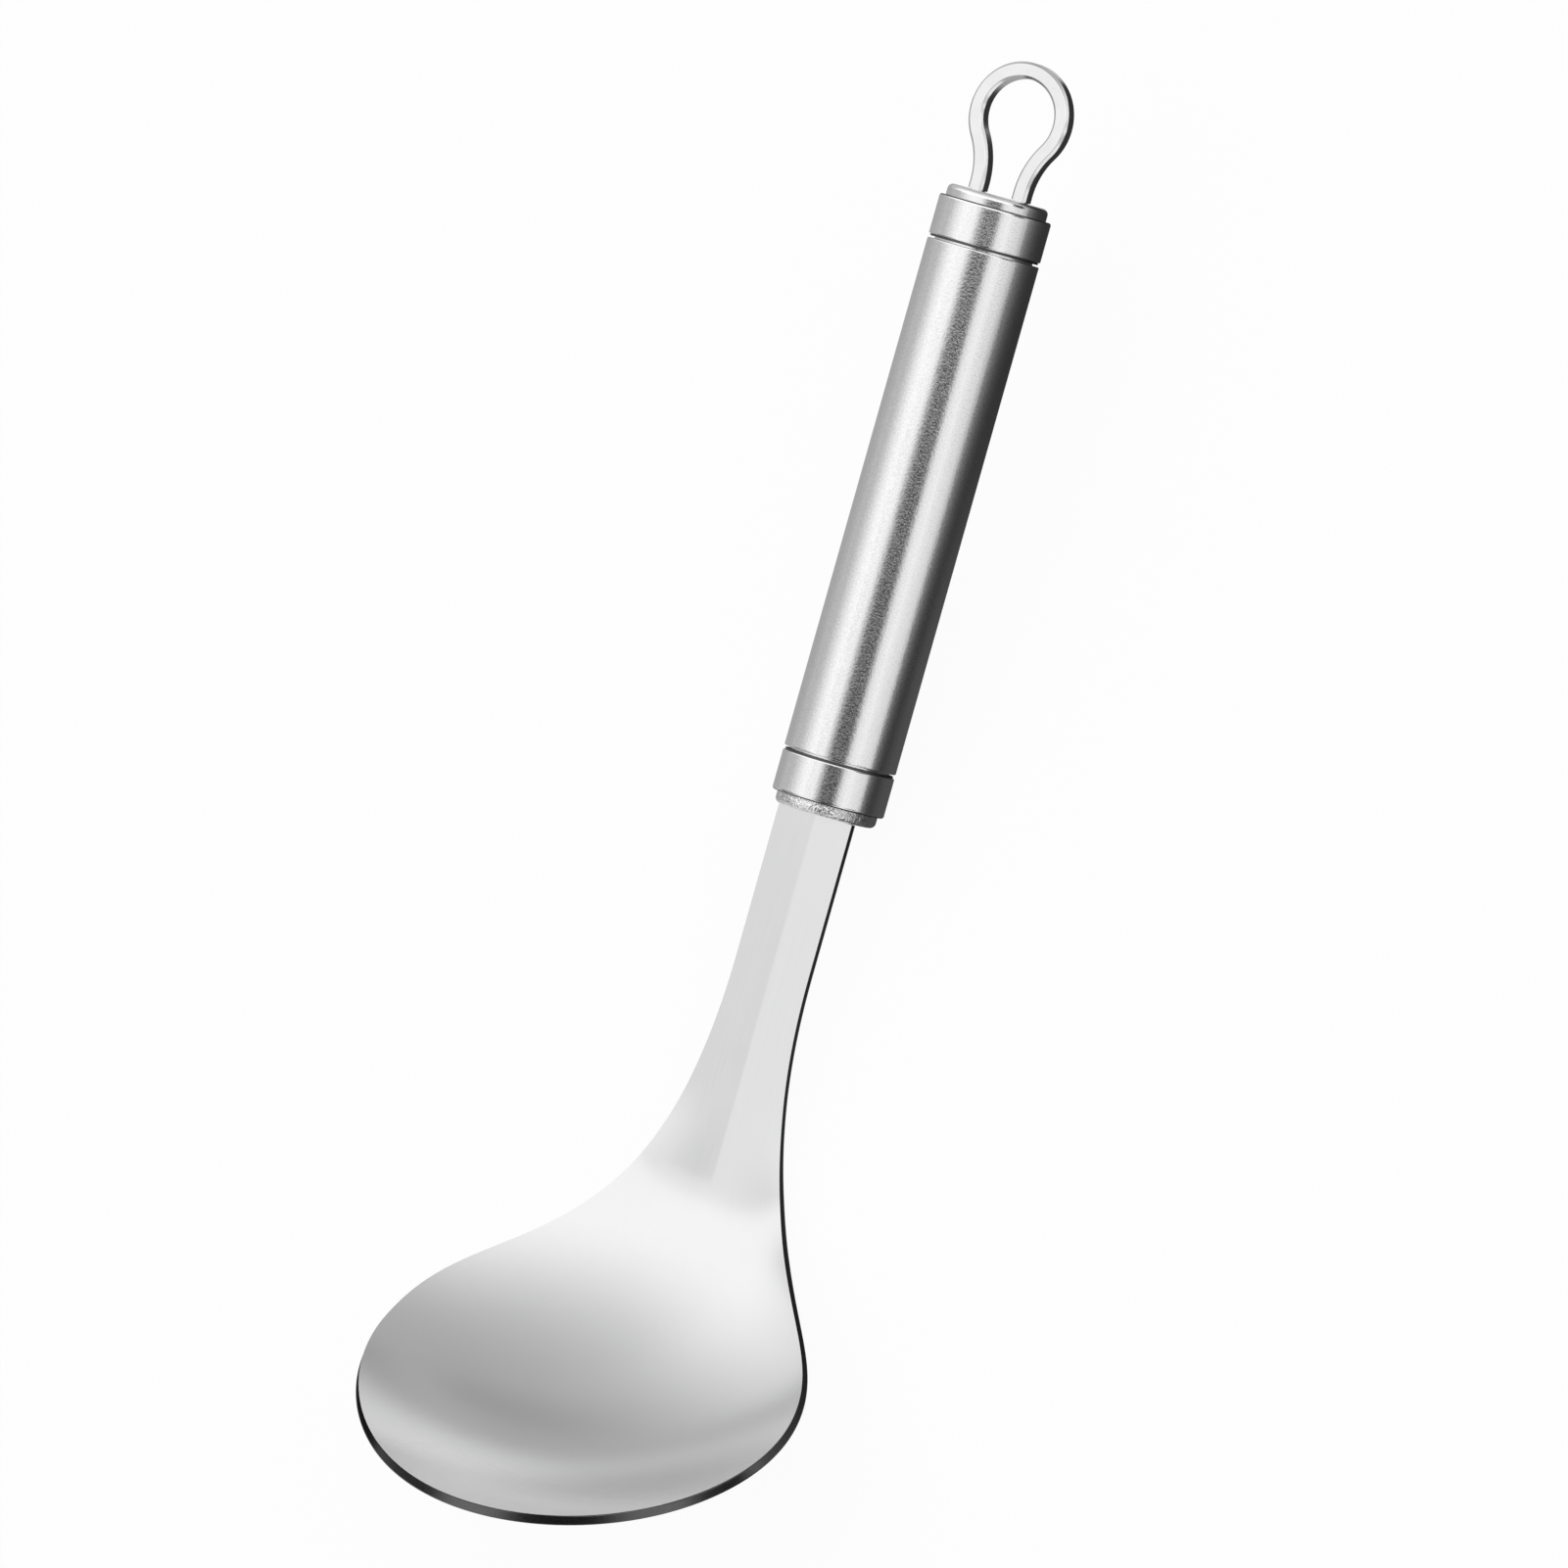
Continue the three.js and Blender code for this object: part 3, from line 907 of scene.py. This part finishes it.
def loop_shape(loop, settings, handle):
    """The bent wire with both legs drawn down in the plug and headed over behind it."""
    foot = handle.plug_face + SHOULDER
    start = handle.plug_face + settings.fit_gap + loop.leg_straight
    head_front = handle.plug_back - settings.fit_gap
    head_back = head_front - loop.head_thickness
    leg = loop.leg_spacing / 2
    head = loop.head_diameter / 2
    wide, thick = loop.wire_width / 2, loop.wire_thickness / 2
    wire = section(wide, thick, loop.wire_bevel, loop.wire_edge)
    pin = section(wide - loop.leg_step, thick - loop.leg_step, loop.leg_step, loop.wire_edge)
    spins = [math.tau * (i + 0.5) / len(wire) for i in range(len(wire))]
    stud = [(head * math.cos(spin), head * math.sin(spin)) for spin in spins]
    half = [(leg, head_back, QUARTER, stud), (leg, head_front, QUARTER, stud)]
    half += [(leg, head_front, QUARTER, pin), (leg, foot, QUARTER, pin)]
    half += [(*place, wire) for place in keyhole(loop, foot, start)]
    mirrored = [(-x, y, -heading, outline) for x, y, heading, outline in reversed(half[:-1])]
    rings = []
    for x, y, heading, outline in half + mirrored:
        across = Vector((math.sin(heading), -math.cos(heading), 0.0))
        middle = Vector((x, y, 0.0))
        rings.append([middle + across * side + Vector((0, 0, z)) for side, z in outline])
    return joined_rings(rings, closed=False)


class SCOOP_OT_blade(bpy.types.Operator):
    """Make the stamped blade: tang, creased shank, throat and bowl"""

    bl_idname = "scoop.blade"
    bl_label = "Blade"

    def execute(self, context):
        blade, settings = context.scene.scoop_blade, context.scene.scoop_handle
        shape = blade_shape(blade, Handle(settings).plug_face)
        finishes = [polished_sheet(blade.tint), cut_edge(blade.tint), painted_highlight_corner(blade.tint)]
        as_piece("blade_sheet", shape, finishes, "spoon_blade")
        return {"FINISHED"}


class SCOOP_OT_tube(bpy.types.Operator):
    """Make the brushed tube of the handle"""

    bl_idname = "scoop.tube"
    bl_label = "Tube"

    def execute(self, context):
        settings = context.scene.scoop_handle
        finish = satin_steel("satin_tube", settings.satin_tint, True, *TUBE_GRAIN)
        shape = tube_shape(settings, Handle(settings))
        as_piece("grip_tube", shape, [finish], "handle_tube")
        return {"FINISHED"}


class SCOOP_OT_collars(bpy.types.Operator):
    """Make the two rings at the ends of the tube"""

    bl_idname = "scoop.collars"
    bl_label = "Collars"

    def execute(self, context):
        settings = context.scene.scoop_handle
        finish = satin_steel("satin_ring", settings.satin_tint, True, *RING_GRAIN)
        neck = painted_shade_neck(settings.satin_tint)
        for name, node, turn in (
            ("blade_ring", "front_collar", END_TURN),
            ("loop_ring", "rear_collar", Matrix()),
        ):
            shape = collar_shape(settings, Handle(settings))
            shape.transform(turn)
            as_piece(name, shape, [finish, neck], node)
        return {"FINISHED"}


class SCOOP_OT_plugs(bpy.types.Operator):
    """Make the two end plugs, one slotted for the blade and one pierced for the loop"""

    bl_idname = "scoop.plugs"
    bl_label = "Plugs"

    def execute(self, context):
        scene = context.scene
        settings, blade, loop = scene.scoop_handle, scene.scoop_blade, scene.scoop_loop
        handle, gap = Handle(settings), settings.fit_gap
        finish = satin_steel("turned_plug", settings.plug_tint, False, *PLUG_GRAIN)
        depth = handle.plug_face - handle.plug_back + 2 * gap
        middle = (handle.plug_face + handle.plug_back) / 2
        fold_depth = math.tan(blade.fold) * blade.tang_width / 2
        slot_height = blade.sheet + fold_depth + 2 * SEAM
        slot_middle = Vector((0, middle, blade.shank_offset + (fold_depth - blade.sheet) / 2))
        slot = slab(blade.tang_width + 2 * SEAM, depth, slot_height, slot_middle)
        shape = cut_away(plug_shape(settings, handle), [slot])
        shape.transform(END_TURN)
        rough = blasted_plug(settings.plug_tint)
        as_piece("blade_plug", shape, [rough], "front_plug")
        pin_width = loop.wire_width - 2 * loop.leg_step + 2 * SEAM
        pin_height = loop.wire_thickness - 2 * loop.leg_step + 2 * SEAM
        holes = []
        for side in (-1, 1):
            place = Vector((side * loop.leg_spacing / 2, middle, 0))
            holes.append(slab(pin_width, depth, pin_height, place))
        shape = cut_away(plug_shape(settings, handle), holes)
        as_piece("loop_plug", shape, [finish], "rear_plug")
        return {"FINISHED"}


class SCOOP_OT_loop(bpy.types.Operator):
    """Bend the wire loop that the tool hangs by"""

    bl_idname = "scoop.loop"
    bl_label = "Hanging loop"

    def execute(self, context):
        loop, settings = context.scene.scoop_loop, context.scene.scoop_handle
        shape = loop_shape(loop, settings, Handle(settings))
        as_piece("wire_loop", shape, [drawn_wire(loop.tint)], "hanging_loop")
        return {"FINISHED"}


class SCOOP_OT_core(bpy.types.Operator):
    """Give the moulded core inside the tube its finish"""

    bl_idname = "scoop.core"
    bl_label = "Core finish"

    def execute(self, context):
        core = frame["nodes"]["tang_core"]
        core.data.materials.clear()
        core.data.materials.append(core_moulding(context.scene.scoop_handle.core_tint))
        return {"FINISHED"}


# Half sides and heights of the floor and of the card, and the card's tones
FLOOR_HALF = 8.0
FLOOR_DROP = 0.05 * MM
CARD_HALF = 6.0
CARD_LIFT = 0.15 * MM
CARD_DARK = (0.035, 0.035, 0.035)
CARD_PALE = (0.42, 0.42, 0.42)
CARD_FAR = (0.47, 0.47, 0.47)
CARD_LIGHT = (0.6, 0.6, 0.6)
CARD_WHITE = (1.0, 1.0, 1.0)

# Light of the studio, where 1 is white
GAP_LIGHT = 0.04
FRONT_LIGHT = 0.05
OVERHEAD_LIGHT = 1.3
WALL_LIGHT = 1.3


def flat_plane(name, half, height, material):
    """A square lying flat, for the stage."""
    shape = bmesh.new()
    bmesh.ops.create_grid(shape, x_segments=1, y_segments=1, size=half)
    mesh = bpy.data.meshes.new(name)
    shape.to_mesh(mesh)
    shape.free()
    mesh.materials.append(material)
    plane = bpy.data.objects.new(name, mesh)
    bpy.context.scene.collection.objects.link(plane)
    plane.location.z = height
    return plane


def floor_paper(settings):
    """Pale paper, lifted to white for the camera and for reflections, that keeps its shadows."""
    material = bpy.data.materials.new("floor_paper")
    tree = Tree(material)
    mottle = tree.noise(tree.place(), 900, 3)
    tint = tuple(settings.floor_tint)
    shade = tree.mix(mottle, scaled(tint, 0.99), scaled(tint, 1.01))
    paper = tree.node("ShaderNodeBsdfDiffuse", None, {"Color": shade})
    white = tree.node("ShaderNodeEmission", None, {"Color": (1, 1, 1, 1), "Strength": 1.0})
    seen = tree.node("ShaderNodeLightPath", None, None, "Is Camera Ray")
    reflected = seen.beside("Is Glossy Ray") + seen.beside("Is Transmission Ray")
    lifted = (seen + reflected) * settings.floor_white
    surface = tree.node("ShaderNodeMixShader", None, {0: lifted, 1: paper, 2: white})
    tree.node("ShaderNodeOutputMaterial", None, {"Surface": surface})
    return material


def reflector_card():
    """Card under the tool, seen only in its reflections: dark on the right and at the left front."""
    material = bpy.data.materials.new("reflector_card")
    tree = Tree(material)
    side = tree.node("ShaderNodeSeparateXYZ", None, {0: tree.place()}, "X")
    ahead = side.beside("Y")
    # Dark field on the right, weaker outwards and close beside the shank
    right = side.step(-0.004, 0.004) * (1 - side.step(0.12, 0.2)) * ahead.window(-0.16, 0.3, 0.03)
    right = right * (1 - 0.4 * side.step(0.015, 0.1))
    right = right * (1 - 0.12 * (1 - side.step(0.012, 0.03)) * (1 - ahead.step(0.02, 0.08)))
    # Dark corner at the left front
    inside = side.step(-0.06, -0.04)
    left = (1 - inside) * (1 - ahead.step(-0.09, -0.06))
    # White under the bowl, then light, and pale under the handle
    bright = tree.mix(ahead.step(-0.08, 0.045), CARD_WHITE, CARD_LIGHT)
    bright = tree.mix(inside, CARD_LIGHT, bright)
    pale = tree.mix(side.step(-0.16, -0.03), CARD_FAR, CARD_PALE)
    pale = tree.mix(ahead.step(0.11, 0.14), pale, CARD_LIGHT)
    back = ahead.step(-0.012, 0.0) * (1 - side.step(0.1, 0.16))
    shade = tree.mix(back, bright, pale)
    shade = tree.mix(right + left, shade, CARD_DARK)
    paper = tree.node("ShaderNodeEmission", None, {"Color": shade, "Strength": 1.0})
    tree.node("ShaderNodeOutputMaterial", None, {"Surface": paper})
    return material


def studio_sky(world):
    """Soft boxes left and right of the handle with a dark gap between, and a pale wall behind."""
    tree = Tree(world)
    way = tree.node("ShaderNodeTexCoord", None, None, "Generated")
    across = way.dot((1, 0, 0))
    along = way.dot((0, math.cos(handle_lean), math.sin(handle_lean)))
    up = way.dot((0, -math.sin(handle_lean), math.cos(handle_lean)))
    # Degrees round the handle from straight up, to the right
    lean = across.calc("ARCTAN2", across, up) * math.degrees(1)
    # Box on the left, with a grey seam, and box on the right, low down shut off towards the loop
    left = (0.5 + 0.55 * lean.step(-75, -30)) * (1 - lean.step(-12, 12))
    seam = 1 - 0.22 * lean.window(-26, -10, 2) * (1 - along.step(-0.05, -0.02))
    right = lean.step(33, 47) * (0.91 + 0.12 * lean.step(54, 64) - 0.24 * lean.step(66, 100))
    shy = lean.step(62, 68)
    boxes = GAP_LIGHT + left * seam + right * (1 - along.step(0.02, 0.09) * shy)
    # Bright strip overhead, where the light turns towards the loop
    over = lean.window(-64, 40, 12) * along.step(0.015, 0.11)
    boxes = boxes + (OVERHEAD_LIGHT - boxes) * over
    # Wall beyond the loop, weaker straight ahead and far left, with a dark flag low on the right
    wall = WALL_LIGHT - 0.8 * along.step(0.3, 1.1)
    wall = wall * (0.7 + 0.3 * lean.step(-105, -52))
    flag = shy * (1 - along.step(0.62, 0.78))
    upper = boxes + (wall * (1 - 0.95 * flag) - boxes) * along.step(0.1, 0.26)
    # Dark front with two lit strips
    front = FRONT_LIGHT + lean.window(-42, -4, 10) + lean.window(50, 64, 3)
    low = along.step(-0.44, -0.34) * (1 - along.step(-0.15, -0.09))
    level = upper + (front - upper) * low
    sky = tree.node("ShaderNodeBackground", None, {"Color": level, "Strength": 1.0})
    tree.node("ShaderNodeOutputWorld", None, {"Surface": sky})


def add_camera(settings):
    """A camera at the photograph's angle, with the handle leaning in the picture."""
    turn, lift, roll = settings.view_turn, settings.view_raise, settings.view_roll
    towards = Vector(
        (
            math.sin(turn) * math.cos(lift),
            math.sin(lift),
            math.cos(turn) * math.cos(lift),
        )
    )
    along = Vector((0, 1, 0))
    up = (along - towards * along.dot(towards)).normalized()
    right = up.cross(towards)
    middle = -up * settings.middle_down - right * settings.middle_left
    axis_x = right * math.cos(roll) + up * math.sin(roll)
    axis_y = up * math.cos(roll) - right * math.sin(roll)
    place = Matrix((axis_x, axis_y, towards)).transposed().to_4x4()
    place.translation = middle + towards * settings.distance
    data = bpy.data.cameras.new("view")
    data.lens = data.sensor_width * settings.distance / settings.picture_width
    camera = bpy.data.objects.new("view", data)
    camera.matrix_world = HANDLE_FRAME @ place
    bpy.context.scene.collection.objects.link(camera)
    bpy.context.scene.camera = camera


class SCOOP_OT_stage(bpy.types.Operator):
    """Lay the floor, set the studio light and place the camera"""

    bl_idname = "scoop.stage"
    bl_label = "Stage"

    def execute(self, context):
        scene, settings = context.scene, context.scene.scoop_stage
        flat_plane("floor", FLOOR_HALF, -FLOOR_DROP, floor_paper(settings))
        card = flat_plane("reflector", CARD_HALF, CARD_LIFT, reflector_card())
        card.visible_camera = False
        card.visible_diffuse = False
        card.visible_shadow = False
        card.visible_transmission = False
        world = bpy.data.worlds.new("studio")
        scene.world = world
        studio_sky(world)
        add_camera(settings)
        scene.view_settings.view_transform = "Standard"
        return {"FINISHED"}


class SCOOP_PT_panel(bpy.types.Panel):
    """The scoop's pieces, each with a button that makes it"""

    bl_idname = "SCOOP_PT_panel"
    bl_label = "Meatball Scoop"
    bl_space_type = "VIEW_3D"
    bl_region_type = "UI"
    bl_category = "Scoop"

    def draw(self, context):
        for operator in OPERATORS:
            self.layout.operator(operator.bl_idname)


OPERATORS = (
    SCOOP_OT_blade,
    SCOOP_OT_tube,
    SCOOP_OT_collars,
    SCOOP_OT_plugs,
    SCOOP_OT_loop,
    SCOOP_OT_core,
    SCOOP_OT_stage,
)
SETTINGS = {
    "scoop_blade": BladeSettings,
    "scoop_handle": HandleSettings,
    "scoop_loop": LoopSettings,
    "scoop_stage": StageSettings,
}
CLASSES = (*SETTINGS.values(), *OPERATORS, SCOOP_PT_panel)


def register():
    """Adds the classes and the settings of the scene."""
    for cls in CLASSES:
        bpy.utils.register_class(cls)
    for name, group in SETTINGS.items():
        setattr(bpy.types.Scene, name, PointerProperty(type=group))


def unregister():
    """Takes them away again."""
    for name in SETTINGS:
        delattr(bpy.types.Scene, name)
    for cls in reversed(CLASSES):
        bpy.utils.unregister_class(cls)


def main():
    register()
    for operator in OPERATORS:
        group, name = operator.bl_idname.split(".")
        getattr(getattr(bpy.ops, group), name)()


if __name__ == "__main__":
    main()
